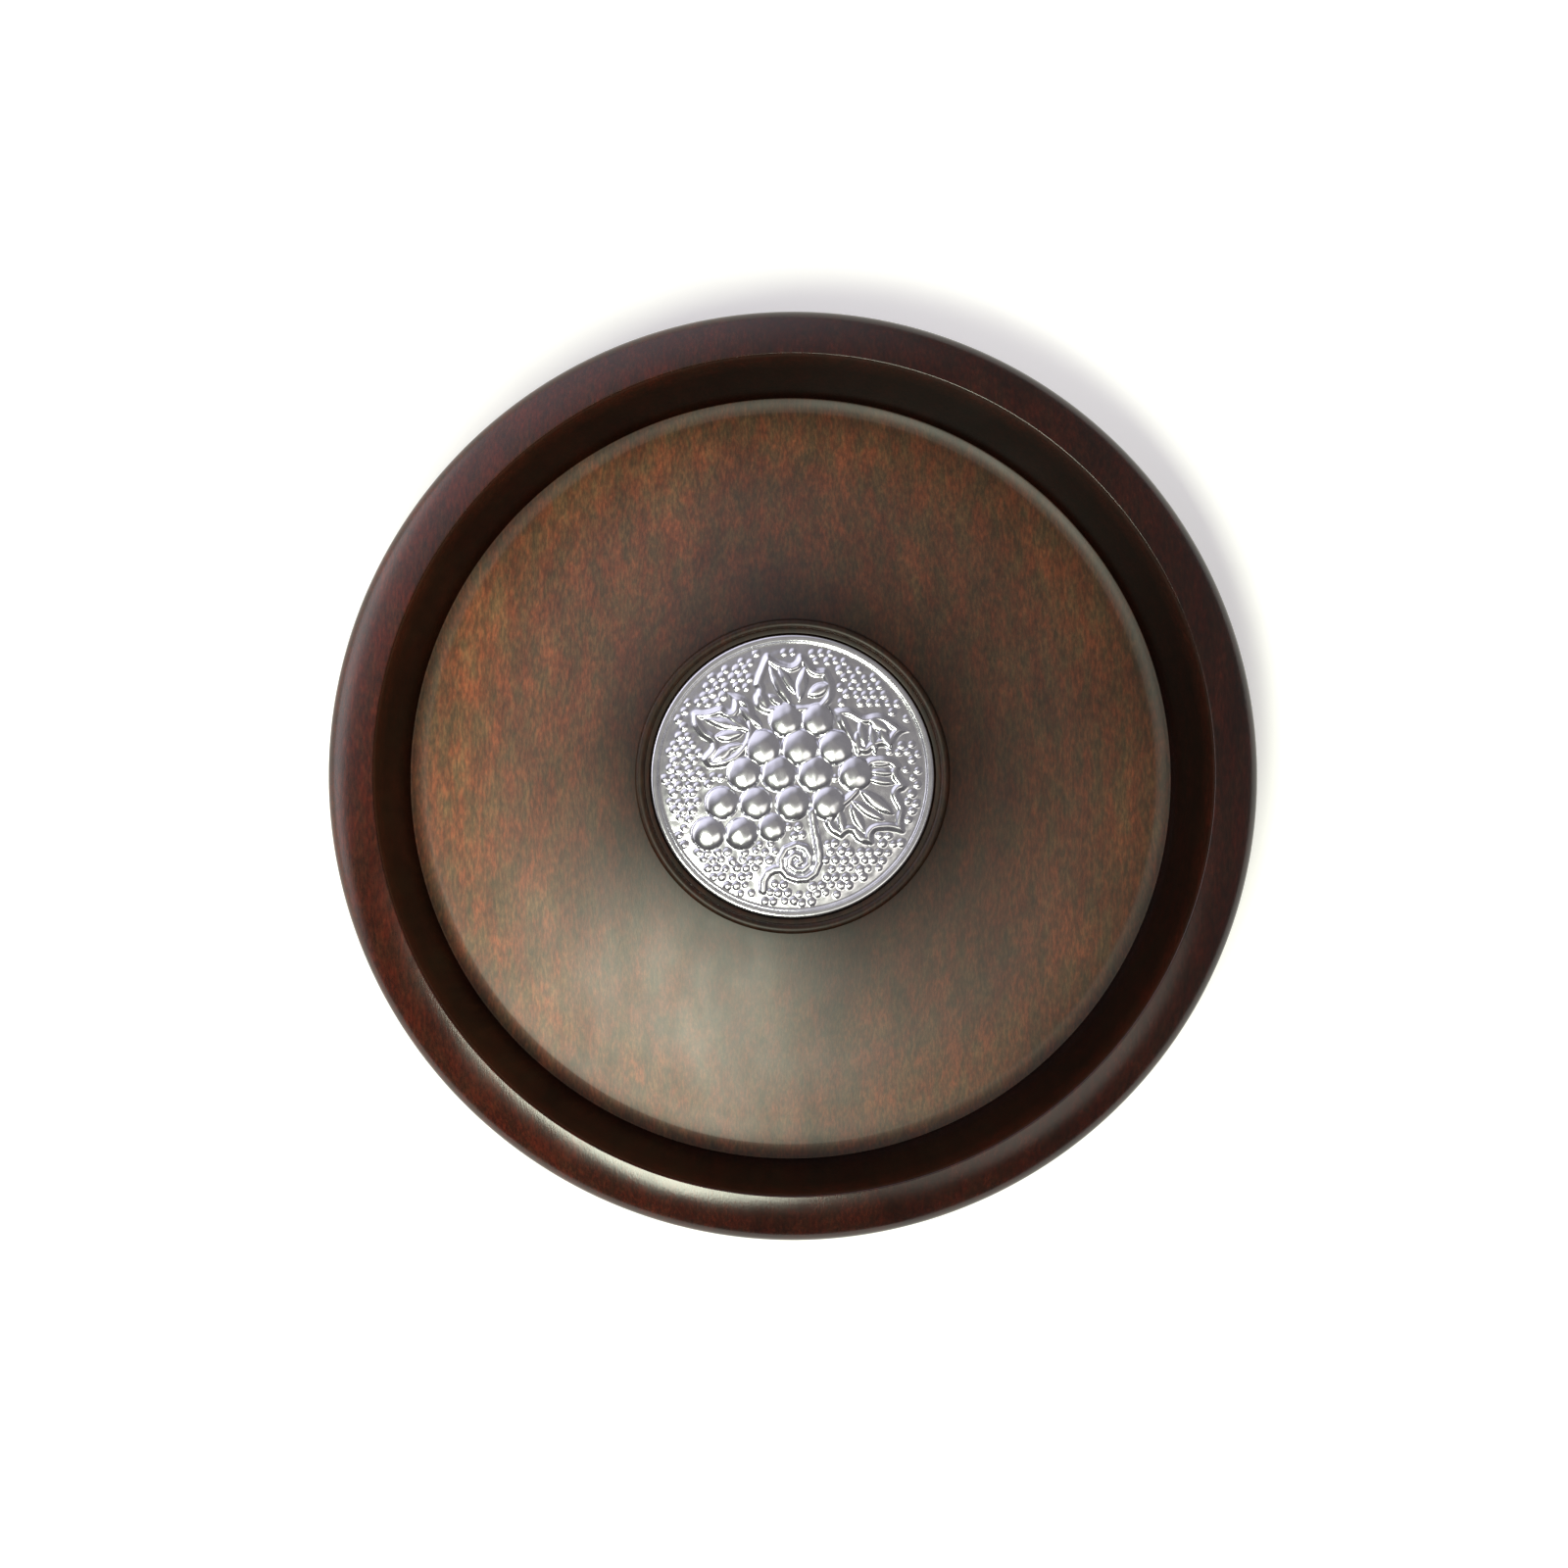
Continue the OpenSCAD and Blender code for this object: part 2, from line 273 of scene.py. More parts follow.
# Each leaf: its outline, then its swollen lobes as (x, y, heading, half length, half width).
TOP_LEAF = (
    [
        (-0.19, 0.42), (-0.27, 0.47), (-0.29, 0.56), (-0.255, 0.60), (-0.29, 0.64),
        (-0.25, 0.76), (-0.19, 0.89), (-0.10, 0.82), (0.0, 0.79), (0.045, 0.88), (0.12, 0.83),
        (0.16, 0.76), (0.25, 0.77), (0.31, 0.64), (0.30, 0.54), (0.22, 0.44), (0.0, 0.42)
    ],
    [
        (-0.09, 0.635, -62, 0.175, 0.042), (-0.045, 0.68, -58, 0.13, 0.035),
        (0.065, 0.645, 80, 0.13, 0.045), (0.185, 0.605, 28, 0.095, 0.05),
        (-0.205, 0.53, -65, 0.09, 0.035), (-0.12, 0.53, -40, 0.07, 0.03)
    ],
)
LEFT_LEAF = (
    [
        (-0.26, 0.50), (-0.34, 0.57), (-0.48, 0.60), (-0.43, 0.52), (-0.44, 0.46), (-0.50, 0.51),
        (-0.60, 0.47), (-0.72, 0.47), (-0.72, 0.36), (-0.66, 0.27), (-0.57, 0.22), (-0.66, 0.13),
        (-0.60, 0.04), (-0.48, 0.05), (-0.36, 0.10), (-0.25, 0.25)
    ],
    [
        (-0.47, 0.365, -14, 0.17, 0.042), (-0.38, 0.37, -35, 0.14, 0.035),
        (-0.30, 0.415, -42, 0.12, 0.038), (-0.45, 0.285, 8, 0.11, 0.045),
        (-0.50, 0.15, 35, 0.10, 0.05), (-0.43, 0.20, 15, 0.09, 0.03)
    ],
)
RIGHT_LEAF = (
    [
        (0.26, 0.47), (0.36, 0.495), (0.44, 0.475), (0.50, 0.43), (0.58, 0.455), (0.66, 0.44),
        (0.74, 0.38), (0.85, 0.31), (0.76, 0.29), (0.70, 0.19), (0.60, 0.20), (0.52, 0.13),
        (0.40, 0.18)
    ],
    [
        (0.49, 0.29, 100, 0.11, 0.038), (0.455, 0.23, 95, 0.09, 0.035),
        (0.565, 0.26, 98, 0.12, 0.03), (0.60, 0.36, -35, 0.10, 0.045),
        (0.645, 0.27, -60, 0.10, 0.04)
    ],
)
LOWER_LEAF = (
    [
        (0.50, 0.13), (0.60, 0.155), (0.71, 0.14), (0.78, 0.07), (0.75, 0.02), (0.83, -0.06),
        (0.79, -0.11), (0.75, -0.12), (0.81, -0.22), (0.79, -0.32), (0.80, -0.42), (0.68, -0.39),
        (0.57, -0.40), (0.58, -0.50), (0.47, -0.48), (0.40, -0.40), (0.34, -0.46), (0.25, -0.40),
        (0.20, -0.32), (0.28, -0.20), (0.42, -0.08)
    ],
    [
        (0.61, 0.085, 0, 0.085, 0.024), (0.63, 0.025, -4, 0.10, 0.028),
        (0.62, -0.035, -10, 0.11, 0.03), (0.59, -0.185, -36, 0.155, 0.05),
        (0.53, -0.245, -32, 0.14, 0.038), (0.455, -0.30, -64, 0.12, 0.036),
        (0.46, -0.42, -50, 0.07, 0.03), (0.34, -0.32, -80, 0.10, 0.035),
        (0.27, -0.35, -60, 0.08, 0.03)
    ],
)
LEAVES = [TOP_LEAF, LEFT_LEAF, RIGHT_LEAF, LOWER_LEAF]
OUTLINE_W = 0.045                         # width of the slope up to a leaf's raised edge
OUTLINE_FALL = 0.03                       # width of the slope from there down to its bed
OUTLINE_H = 0.95 * MM
LEAF_BED = 0.30 * MM
LOBE_H = 1.2 * MM                         # height of a lobe as wide as LOBE_FULL
LOBE_FULL = 0.045
SOFT_POWER = 0.6                          # roundness of lobes and stem, as GRAPE_POWER
FIELD_EDGE = 0.925                        # where the pebbled field meets the plain edge
FAR = 9.0                                 # a distance larger than any on the medallion


def smooth_outline(points, rounds=2, cut=0.2):
    """Cuts the corners of a closed outline, each round at a share of every side."""
    for _ in range(rounds):
        rounded = []
        for (x0, y0), (x1, y1) in zip(points, points[1:] + points[:1]):
            dx, dy = cut * (x1 - x0), cut * (y1 - y0)
            rounded += [(x0 + dx, y0 + dy), (x1 - dx, y1 - dy)]
        points = rounded
    return points


def lens(px, py, half_length, half_width):
    """Signed distance to a pointed lens that lies along x about the origin."""
    px, py = np.abs(px), np.abs(py)
    big = (half_length ** 2 + half_width ** 2) / (2 * half_width)
    shift = big - half_width
    tip = (px - half_length) * shift > py * half_length
    return np.where(tip, np.hypot(px - half_length, py), np.hypot(px, py + shift) - big)


def dome(q, power):
    """1 at q = 0, falling to 0 at q = 1."""
    return np.power(np.clip(1 - q * q, 0, 1), power)


def ease(t):
    """0 below t = 0, 1 above t = 1, and smooth between."""
    t = np.clip(t, 0, 1)
    return t * t * (3 - 2 * t)


def path_distance(x, y, path):
    """Distance from each point to a line of straight pieces."""
    best = np.full_like(x, FAR)
    for (x0, y0), (x1, y1) in zip(path[:-1], path[1:]):
        dx, dy = x1 - x0, y1 - y0
        t = np.clip(((x - x0) * dx + (y - y0) * dy) / (dx * dx + dy * dy), 0, 1)
        best = np.minimum(best, np.hypot(x - x0 - t * dx, y - y0 - t * dy))
    return best


def inside(x, y, outline):
    """True where a point lies in the closed outline."""
    result = np.zeros(x.shape, bool)
    for (x0, y0), (x1, y1) in zip(outline, outline[1:] + outline[:1]):
        if y0 == y1:
            continue
        crosses = ((y0 > y) != (y1 > y)) & (x < (x1 - x0) * (y - y0) / (y1 - y0) + x0)
        result ^= crosses
    return result


def grape_relief(x, y):
    """Height of the grapes, and the distance to the nearest one, negative inside it."""
    height = np.zeros_like(x)
    cover = np.full_like(x, FAR)
    for row_y, row in GRAPES:
        for grape_x, grape_r in row:
            d = np.hypot(x - grape_x, y - row_y)
            cover = np.minimum(cover, d - grape_r)
            tall = GRAPE_H * grape_r / GRAPE_FULL
            height = np.maximum(height, tall * dome(d / grape_r, GRAPE_POWER))
    return height, cover


def leaf_relief(x, y):
    """Leaves with a raised edge, a low bed and swollen lobes, and the distance to their outline."""
    height = np.zeros_like(x)
    cover = np.full_like(x, FAR)
    for outline, lobes in LEAVES:
        outline = smooth_outline(outline)
        d = path_distance(x, y, outline + outline[:1])
        d = np.where(inside(x, y, outline), -d, d)
        rise = ease(-d / OUTLINE_W)
        fall = ease((-d - OUTLINE_W) / OUTLINE_FALL)
        leaf = OUTLINE_H * rise - (OUTLINE_H - LEAF_BED) * fall
        for lobe_x, lobe_y, heading, half, width in lobes:
            angle = math.radians(heading)
            along = (x - lobe_x) * math.cos(angle) + (y - lobe_y) * math.sin(angle)
            across = -(x - lobe_x) * math.sin(angle) + (y - lobe_y) * math.cos(angle)
            e = lens(along, across, half, width)
            tall = LOBE_H * math.sqrt(width / LOBE_FULL)
            leaf = np.maximum(leaf, tall * dome(np.clip(1 + e / width, 0, 1), SOFT_POWER))
        height = np.maximum(height, leaf)
        cover = np.minimum(cover, d)
    return height, cover


STEM = [(0.135, -0.25), (0.15, -0.35), (0.17, -0.45), (0.185, -0.54), (0.185, -0.61), (0.155, -0.68),
        (0.10, -0.72), (0.03, -0.725), (-0.04, -0.70), (-0.08, -0.65), (-0.085, -0.58), (-0.05, -0.515),
        (0.02, -0.485), (0.09, -0.505), (0.12, -0.56), (0.115, -0.62), (0.075, -0.66), (0.02, -0.66),
        (-0.02, -0.63), (-0.025, -0.585), (0.01, -0.55), (0.05, -0.56), (0.06, -0.60), (0.035, -0.615)]
TENDRIL = [(-0.085, -0.65), (-0.13, -0.655), (-0.175, -0.68), (-0.205, -0.73), (-0.21, -0.80)]
STEM_R, TENDRIL_R = 0.028, 0.032
STEM_CLEAR = 0.03                         # ground kept free of pebbles beside both
STEM_H = 0.95 * MM
CURL, CURL_R = (0.03, -0.60), 0.12        # the spiral, inside which no pebble stands


def stem_relief(x, y):
    """The stem runs down from the bunch and curls up into a spiral, with a short tendril."""
    stem = path_distance(x, y, STEM)
    tendril = path_distance(x, y, TENDRIL)
    height = np.maximum(dome(stem / STEM_R, SOFT_POWER), dome(tendril / TENDRIL_R, SOFT_POWER))
    curl = np.hypot(x - CURL[0], y - CURL[1]) - CURL_R
    cover = np.minimum(np.minimum(stem, tendril) - STEM_CLEAR, curl)
    return STEM_H * height, cover


PEBBLE_STEP = 0.067                       # from one pebble to the next
PEBBLE_ROW = 0.87 * PEBBLE_STEP           # from one row to the next
PEBBLE_SIZES = (0.36, 0.50)               # smallest and largest radius, in steps
PEBBLE_JITTER = 0.14                      # in steps
PEBBLE_H = 0.44 * MM                      # height of a pebble of the usual radius
PEBBLE_FULL = 0.43 * PEBBLE_STEP
PEBBLE_POWER = 0.8
PEBBLE_MARGIN = 0.02                      # plain ground left inside the edge of the field
PEBBLE_OVERLAP = 0.01                     # how far a pebble may run under the picture


def pebble_relief(x, y, cover):
    """Round beads of uneven size that cover the ground wherever nothing else stands."""
    rng = np.random.default_rng(7)
    height = np.zeros_like(x)
    for row in range(int(2 / PEBBLE_ROW) + 2):
        for col in range(int(2 / PEBBLE_STEP) + 2):
            shift_x, shift_y = rng.uniform(-PEBBLE_JITTER, PEBBLE_JITTER, 2) * PEBBLE_STEP
            radius = PEBBLE_STEP * rng.uniform(*PEBBLE_SIZES)
            cx = -1 + (col + 0.5 * (row % 2)) * PEBBLE_STEP + shift_x
            cy = -1 + row * PEBBLE_ROW + shift_y
            if math.hypot(cx, cy) > FIELD_EDGE - PEBBLE_MARGIN:
                continue
            near = (np.abs(x - cx) < radius) & (np.abs(y - cy) < radius)
            if not near.any() or cover[near].min() < -PEBBLE_OVERLAP:
                continue
            d = np.hypot(x[near] - cx, y[near] - cy)
            tall = PEBBLE_H * radius / PEBBLE_FULL
            height[near] = np.maximum(height[near], tall * dome(d / radius, PEBBLE_POWER))
    return height


HAMMER_WAVES = 9
HAMMER_H = 0.013 * MM                     # height of each wave
HAMMER_LENGTHS = (0.06, 0.13)             # shortest and longest wave
HAMMER_FADE = 0.05                        # width over which the waves die out at the field's edge


def hammered(x, y):
    """Shallow unevenness of the pressed metal, level at the edge of the field."""
    rng = np.random.default_rng(11)
    height = np.zeros_like(x)
    for _ in range(HAMMER_WAVES):
        heading = rng.uniform(0, math.pi)
        length = rng.uniform(*HAMMER_LENGTHS)
        phase = rng.uniform(0, 2 * math.pi)
        along = x * math.cos(heading) + y * math.sin(heading)
        height += np.sin(2 * math.pi * along / length + phase)
    return HAMMER_H * height * ease((FIELD_EDGE - np.hypot(x, y)) / HAMMER_FADE)


def relief(x, y):
    """Height above the rim of the field: the low dome of the plate and the embossed picture."""
    grapes, grape_cover = grape_relief(x, y)
    leaves, leaf_cover = leaf_relief(x, y)
    stem, stem_cover = stem_relief(x, y)
    cover = np.minimum(np.minimum(grape_cover, leaf_cover), stem_cover)
    pebbles = pebble_relief(x, y, cover)
    swell = FIELD_DOME * (1 - (x * x + y * y) / FIELD_EDGE ** 2)
    return swell + np.maximum.reduce([grapes, leaves, stem, pebbles]) + hammered(x, y)


def disc_grid(n):
    """A square grid of n by n cells mapped evenly onto the unit disc."""
    a, b = np.meshgrid(np.linspace(-1, 1, n + 1), np.linspace(-1, 1, n + 1), indexing="ij")
    wide = np.abs(a) > np.abs(b)
    safe_a, safe_b = np.where(a == 0, 1, a), np.where(b == 0, 1, b)
    r = np.where(wide, a, b)
    angle = np.where(wide, math.pi / 4 * b / safe_a, math.pi / 2 - math.pi / 4 * a / safe_b)
    return r * np.cos(angle), r * np.sin(angle)


SKIN_T = 0.6 * MM
EDGE_ROLL = 1.1 * MM                      # width of the rounded outer edge
EDGE_DROP = 1.0 * MM                      # and its height
BAND_W = 2.1 * MM                         # plain band, with the rounded edge
BAND_STEP = 0.16 * MM                     # run of the step from the band down to the field
LINE_X = 2.6 * MM                         # raised line inside the band, from the edge
LINE_W, LINE_H = 0.24 * MM, 0.2 * MM      # its half width and its height
SOFTEN = 0.02 * MM                        # how far the corners of the step and line are eased


def medallion_edge_profile():
    """From the hidden back, round the turned-over edge, across the plain band to the field."""
    r = MEDALLION_R
    points = [(r - SKIN_T, BACK_Z), (r - 0.1 * MM, BACK_Z), (r, BACK_Z + 0.1 * MM)]
    points += straight(points[-1], (r, FACE_Z - EDGE_DROP), 3)
    points += arc(r - EDGE_ROLL, FACE_Z - EDGE_DROP, EDGE_ROLL, EDGE_DROP, 0, 90, 12)[1:]
    points += straight(points[-1], (r - BAND_W, FACE_Z - SOFTEN), 3)
    points += [(r - BAND_W - 3 * SOFTEN, FACE_Z - 2.5 * SOFTEN)]
    points += [(r - BAND_W - BAND_STEP, FIELD_Z + 0.9 * LINE_H)]
    points += arc(r - LINE_X, FIELD_Z + SOFTEN, LINE_W, LINE_H, 10, 170, 8)
    line_in = r - LINE_X - LINE_W
    points += [(line_in - 2 * SOFTEN, FIELD_Z + SOFTEN / 2), (line_in - 5.5 * SOFTEN, FIELD_Z)]
    points += [(FIELD_EDGE * r, FIELD_Z)]
    return points


FIELD_CELLS = 296                         # cells of the embossed field each way


def medallion():
    """The embossed field and the turned edge around it, as one skin."""
    grid_x, grid_y = disc_grid(FIELD_CELLS)
    x, y = grid_x * FIELD_EDGE, grid_y * FIELD_EDGE
    z = FIELD_Z + relief(x, y)
    verts = np.stack([x * MEDALLION_R, y * MEDALLION_R, z], axis=-1).reshape(-1, 3)
    cells = np.arange(FIELD_CELLS)
    i, j = np.meshgrid(cells, cells, indexing="ij")
    row = FIELD_CELLS + 1
    first = (i * row + j).ravel()
    faces = np.stack([first, first + row, first + row + 1, first + 1], axis=-1)
    edge_verts, edge_faces = lathe_arrays(medallion_edge_profile(), SMALL_TURNS)
    all_verts = list(verts) + edge_verts
    all_faces = list(faces) + [[k + len(verts) for k in face] for face in edge_faces]
    obj = new_object("embossed_medallion", all_verts, all_faces)
    sharp_by_angle(obj, 75)
    return obj


# ---------------------------------------------------------------- felt
FELT_EDGE = 0.25 * MM                     # rounding of its lower edge


def felt_profile():
    """From the axis along the lower face and back along the glued one."""
    points = [(0, 0)] + straight((0, 0), (FELT_R - FELT_EDGE, 0), 40)
    points += arc(FELT_R - FELT_EDGE, FELT_EDGE, FELT_EDGE, FELT_EDGE, -90, 0, 4)[1:]
    points += straight(points[-1], (FELT_R, FELT_T), 3)
    points += straight(points[-1], (0, FELT_T), 6)
    return points


# ---------------------------------------------------------------- material helpers
def material(name):
    """A node material; returns it with its node tree and its Principled node."""
    mat = bpy.data.materials.new(name)
    mat.use_nodes = True
    tree = mat.node_tree
    return mat, tree, tree.nodes["Principled BSDF"]


def add(tree, kind, **settings):
    """A new node with the given settings."""
    node = tree.nodes.new(kind)
    for key, value in settings.items():
        setattr(node, key, value)
    return node


def mapped(tree, scale, offset):
    """Object coordinates, stretched by a scale for each axis."""
    coords = add(tree, "ShaderNodeTexCoord")
    mapping = add(tree, "ShaderNodeMapping")
    mapping.inputs["Scale"].default_value = scale
    mapping.inputs["Location"].default_value = offset
    tree.links.new(coords.outputs["Object"], mapping.inputs["Vector"])
    return mapping.outputs["Vector"]


def noise(tree, scale, detail=4, rough=0.55, offset=(0, 0, 0), distort=0.0):
    """Fractal noise with so many features to a metre along each axis."""
    node = add(tree, "ShaderNodeTexNoise")
    node.inputs["Scale"].default_value = 1
    node.inputs["Detail"].default_value = detail
    node.inputs["Roughness"].default_value = rough
    node.inputs["Distortion"].default_value = distort
    tree.links.new(mapped(tree, scale, offset), node.inputs["Vector"])
    return node.outputs["Fac"]


def ramp(tree, source, stops):
    """A colour ramp with (position, colour) stops; a single number is a grey."""
    node = add(tree, "ShaderNodeValToRGB")
    elements = node.color_ramp.elements
    while len(elements) < len(stops):
        elements.new(0.5)
    for element, (place, colour) in zip(elements, stops):
        element.position = place
        grey = isinstance(colour, (int, float))
        element.color = (colour,) * 3 + (1,) if grey else (*colour, 1)
    tree.links.new(source, node.inputs["Fac"])
    return node.outputs["Color"]


def mix(tree, share, a, b, blend="MIX"):
    """Mixes two colours; each may be a socket or a plain colour."""
    node = add(tree, "ShaderNodeMix", data_type="RGBA", blend_type=blend)
    for value, socket in ((share, node.inputs[0]), (a, node.inputs[6]), (b, node.inputs[7])):
        if isinstance(value, bpy.types.NodeSocket):
            tree.links.new(value, socket)
        else:
            socket.default_value = value if isinstance(value, (int, float)) else (*value, 1)
    return node.outputs[2]


def math_node(tree, operation, a, b):
    """A sum, product or power; each side may be a socket or a number."""
    node = add(tree, "ShaderNodeMath", operation=operation)
    for value, socket in ((a, node.inputs[0]), (b, node.inputs[1])):
        if isinstance(value, bpy.types.NodeSocket):
            tree.links.new(value, socket)
        else:
            socket.default_value = value
    return node.outputs[0]


def bump(tree, shader, height, strength, distance):
    """Fine relief of a surface; the distance is in metres."""
    node = add(tree, "ShaderNodeBump")
    node.inputs["Strength"].default_value = strength
    node.inputs["Distance"].default_value = distance
    tree.links.new(height, node.inputs["Height"])
    tree.links.new(node.outputs["Normal"], shader.inputs["Normal"])


# ---------------------------------------------------------------- materials
def turned_places(tree):
    """Place across the plate, 0 at its left edge and 1 at its right, and the share of its radius."""
    coords = add(tree, "ShaderNodeTexCoord")
    split = add(tree, "ShaderNodeSeparateXYZ")
    tree.links.new(coords.outputs["Object"], split.inputs["Vector"])
    across = math_node(tree, "ADD", math_node(tree, "MULTIPLY", split.outputs["X"], 0.5 / PLATE_R), 0.5)
    squares = [math_node(tree, "POWER", split.outputs[axis], 2) for axis in ("X", "Y")]
    radius = math_node(tree, "POWER", math_node(tree, "ADD", *squares), 0.5)
    return across, math_node(tree, "DIVIDE", radius, PLATE_R)


LACQUER_IOR = 1.55
GLOSS_SPREAD = 0.03                       # how far the roughness wanders to each side


def over_radius(tree, radius, stops):
    """A value that changes with the distance from the axis; stops are (radius in mm, value)."""
    return ramp(tree, radius, [(r * MM / PLATE_R, value) for r, value in stops])


def wood(name, tones, roughness, painted_shading, gleam):
    """Stained, lacquered hardwood with its grain along Y. Tones are its dark, middle and light
    colour, and the lightness of its left and right edges, which paints light on the left and
    shade on the right. Painted shading holds stops of lightness against the distance from the
    axis, painted light and shade; gleam holds stops of shine against the same distance."""
    mat, tree, shader = material(name)
    dark, middle, light, left, right = tones
    fleck = noise(tree, (1100, 300, 1100), rough=0.65)
    pore = noise(tree, (2600, 500, 2600), detail=2, offset=(3, 1, 2))
    cloud = noise(tree, (40, 22, 40), detail=5, offset=(5, 0, 1), rough=0.6)
    blotch = noise(tree, (190, 60, 190), detail=5, offset=(0, 4, 0), rough=0.6, distort=0.5)
    hue = noise(tree, (230, 80, 230), offset=(2, 7, 3), rough=0.65)
    across, radius = turned_places(tree)
    layers = [
        (0.7, ramp(tree, cloud, [(0.32, 0.62), (0.68, 1.40)])),
        (0.5, ramp(tree, blotch, [(0.32, 0.55), (0.68, 1.45)])),
        (1.0, ramp(tree, hue, [(0.38, (0.80, 1.12, 1.12)), (0.62, (1.2, 0.92, 0.85))])),
        (0.3, ramp(tree, pore, [(0.30, 0.5), (0.50, 1.0)])),
        # lighter towards the left, darker towards the right: painted light and painted shade
        (1.0, ramp(tree, across, [(0.0, left), (0.5, 1.0), (1.0, right)])),
        # lightness by distance from the axis: painted shade and painted light
        (1.0, over_radius(tree, radius, painted_shading)),
    ]
    colour = ramp(tree, fleck, [(0.36, dark), (0.50, middle), (0.64, light)])
    for share, layer in layers:
        colour = mix(tree, share, colour, layer, "MULTIPLY")
    tree.links.new(colour, shader.inputs["Base Color"])
    tree.links.new(over_radius(tree, radius, gleam), shader.inputs["Specular IOR Level"])
    polish = noise(tree, (60, 30, 60), detail=3)
    gloss = ramp(tree, polish, [(0.3, roughness - GLOSS_SPREAD), (0.7, roughness + GLOSS_SPREAD)])
    tree.links.new(gloss, shader.inputs["Roughness"])
    shader.inputs["IOR"].default_value = LACQUER_IOR
    surface = math_node(tree, "ADD", pore, math_node(tree, "MULTIPLY", fleck, 0.6))
    bump(tree, shader, surface, 0.08, 0.2 * MM)
    return mat


def silver():
    """Polished silver plate, a little hazy and uneven from handling."""
    mat, tree, shader = material("silver_plate")
    haze = noise(tree, (300, 300, 300), detail=3)
    tint = ramp(tree, haze, [(0.3, (0.765, 0.765, 0.825)), (0.7, (0.825, 0.825, 0.89))])
    tree.links.new(tint, shader.inputs["Base Color"])
    shader.inputs["Metallic"].default_value = 1
    gloss = ramp(tree, haze, [(0.3, 0.17), (0.7, 0.22)])
    tree.links.new(gloss, shader.inputs["Roughness"])
    bump(tree, shader, noise(tree, (500, 500, 500), detail=2), 0.10, 0.2 * MM)
    return mat


def felt():
    """Dark red wool felt: matted fibres with a soft sheen."""
    mat, tree, shader = material("wool_felt")
    fibre = noise(tree, (2600, 2600, 2600), detail=4, distort=1.5)
    clump = noise(tree, (240, 240, 240), detail=3)
    colour = ramp(tree, fibre, [(0.3, (0.045, 0.005, 0.008)), (0.7, (0.16, 0.018, 0.028))])
    colour = mix(tree, 0.5, colour, ramp(tree, clump, [(0.3, 0.7), (0.7, 1.2)]), "MULTIPLY")
    tree.links.new(colour, shader.inputs["Base Color"])
    shader.inputs["Roughness"].default_value = 0.95
    shader.inputs["Sheen Weight"].default_value = 0.4
    shader.inputs["Sheen Roughness"].default_value = 0.5
    bump(tree, shader, fibre, 0.5, 0.4 * MM)
    return mat


def filler(name, dark, light, roughness):
    """Cast or foamed plastic of the hidden pieces, faintly mottled."""
    mat, tree, shader = material(name)
    grain = noise(tree, (900, 900, 900), detail=4)
    tree.links.new(ramp(tree, grain, [(0.35, dark), (0.65, light)]), shader.inputs["Base Color"])
    shader.inputs["Roughness"].default_value = roughness
    bump(tree, shader, grain, 0.3, 0.2 * MM)
    return mat


PAPER_GLOW = 0.33                         # light that the translucent table top lets through


def paper():
    """Matt white paper, faintly mottled and lit from below."""
    mat, tree, shader = material("white_paper")
    grain = noise(tree, (40, 40, 40), detail=4)
    tree.links.new(ramp(tree, grain, [(0.3, 0.90), (0.7, 0.92)]), shader.inputs["Base Color"])
    shader.inputs["Roughness"].default_value = 0.9
    shader.inputs["Specular IOR Level"].default_value = 0.1
    shader.inputs["Emission Color"].default_value = (1.0, 0.98, 0.99, 1)
    shader.inputs["Emission Strength"].default_value = PAPER_GLOW
    return mat


# ---------------------------------------------------------------- pieces
def dress(obj, mat, node):
    """Gives a piece its material, and sets it in the place of a CAD node."""
    obj.data.materials.clear()
    obj.data.materials.append(mat)
    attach(obj, "root")
    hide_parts(node)


def finish_cad_node(node, mat):
    """Gives a material to a CAD node that stays as it is."""
    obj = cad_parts[node]
    obj.data.materials.clear()
    obj.data.materials.append(mat)


WOOD_CORNER, FELT_CORNER = 35, 50         # sharper edges than these stay crisp, in degrees


def floor_wood():
    """Satin brown wood, darker by the bead and in the cove (painted shade), lighter on the outer floor
    and on the left (painted light).
    """
    # the last two numbers paint light on the left and shade on the right
    tones = ((0.036, 0.0145, 0.0060), (0.056, 0.0205, 0.0084), (0.088, 0.0305, 0.0120), 2.5, 0.75)
    # painted shade by the bead and in the cove, painted light on the floor between
    painted_shading = [(47, 0.25), (54, 0.34), (59, 0.5), (74, 0.95), (91, 1.25), (113, 1.7), (121, 1.35),
             (126.5, 0.45)]
    gleam = [(50, 0.25), (55, 0.4), (70, 0.57), (95, 0.62), (113, 0.46), (121, 0.5), (127, 0.25)]
    return wood("floor_wood", tones, 0.43, painted_shading, gleam)


def rim_wood():
    """Glossy red-brown wood, with painted shade darkening the inner wall against the rolled rim,
    painted light on the left and painted shade on the right.
    """
    # the last two numbers paint light on the left and shade on the right
    tones = ((0.015, 0.0032, 0.0014), (0.023, 0.0045, 0.0018), (0.036, 0.0070, 0.0030), 2.1, 0.75)
    # painted shade on the inner wall
    painted_shading = [(134, 0.22), (137.5, 1.0)]
    gleam = [(136.4, 0.10), (137.2, 0.45), (149, 0.45), (152, 0.25)]
    return wood("rim_wood", tones, 0.19, painted_shading, gleam)


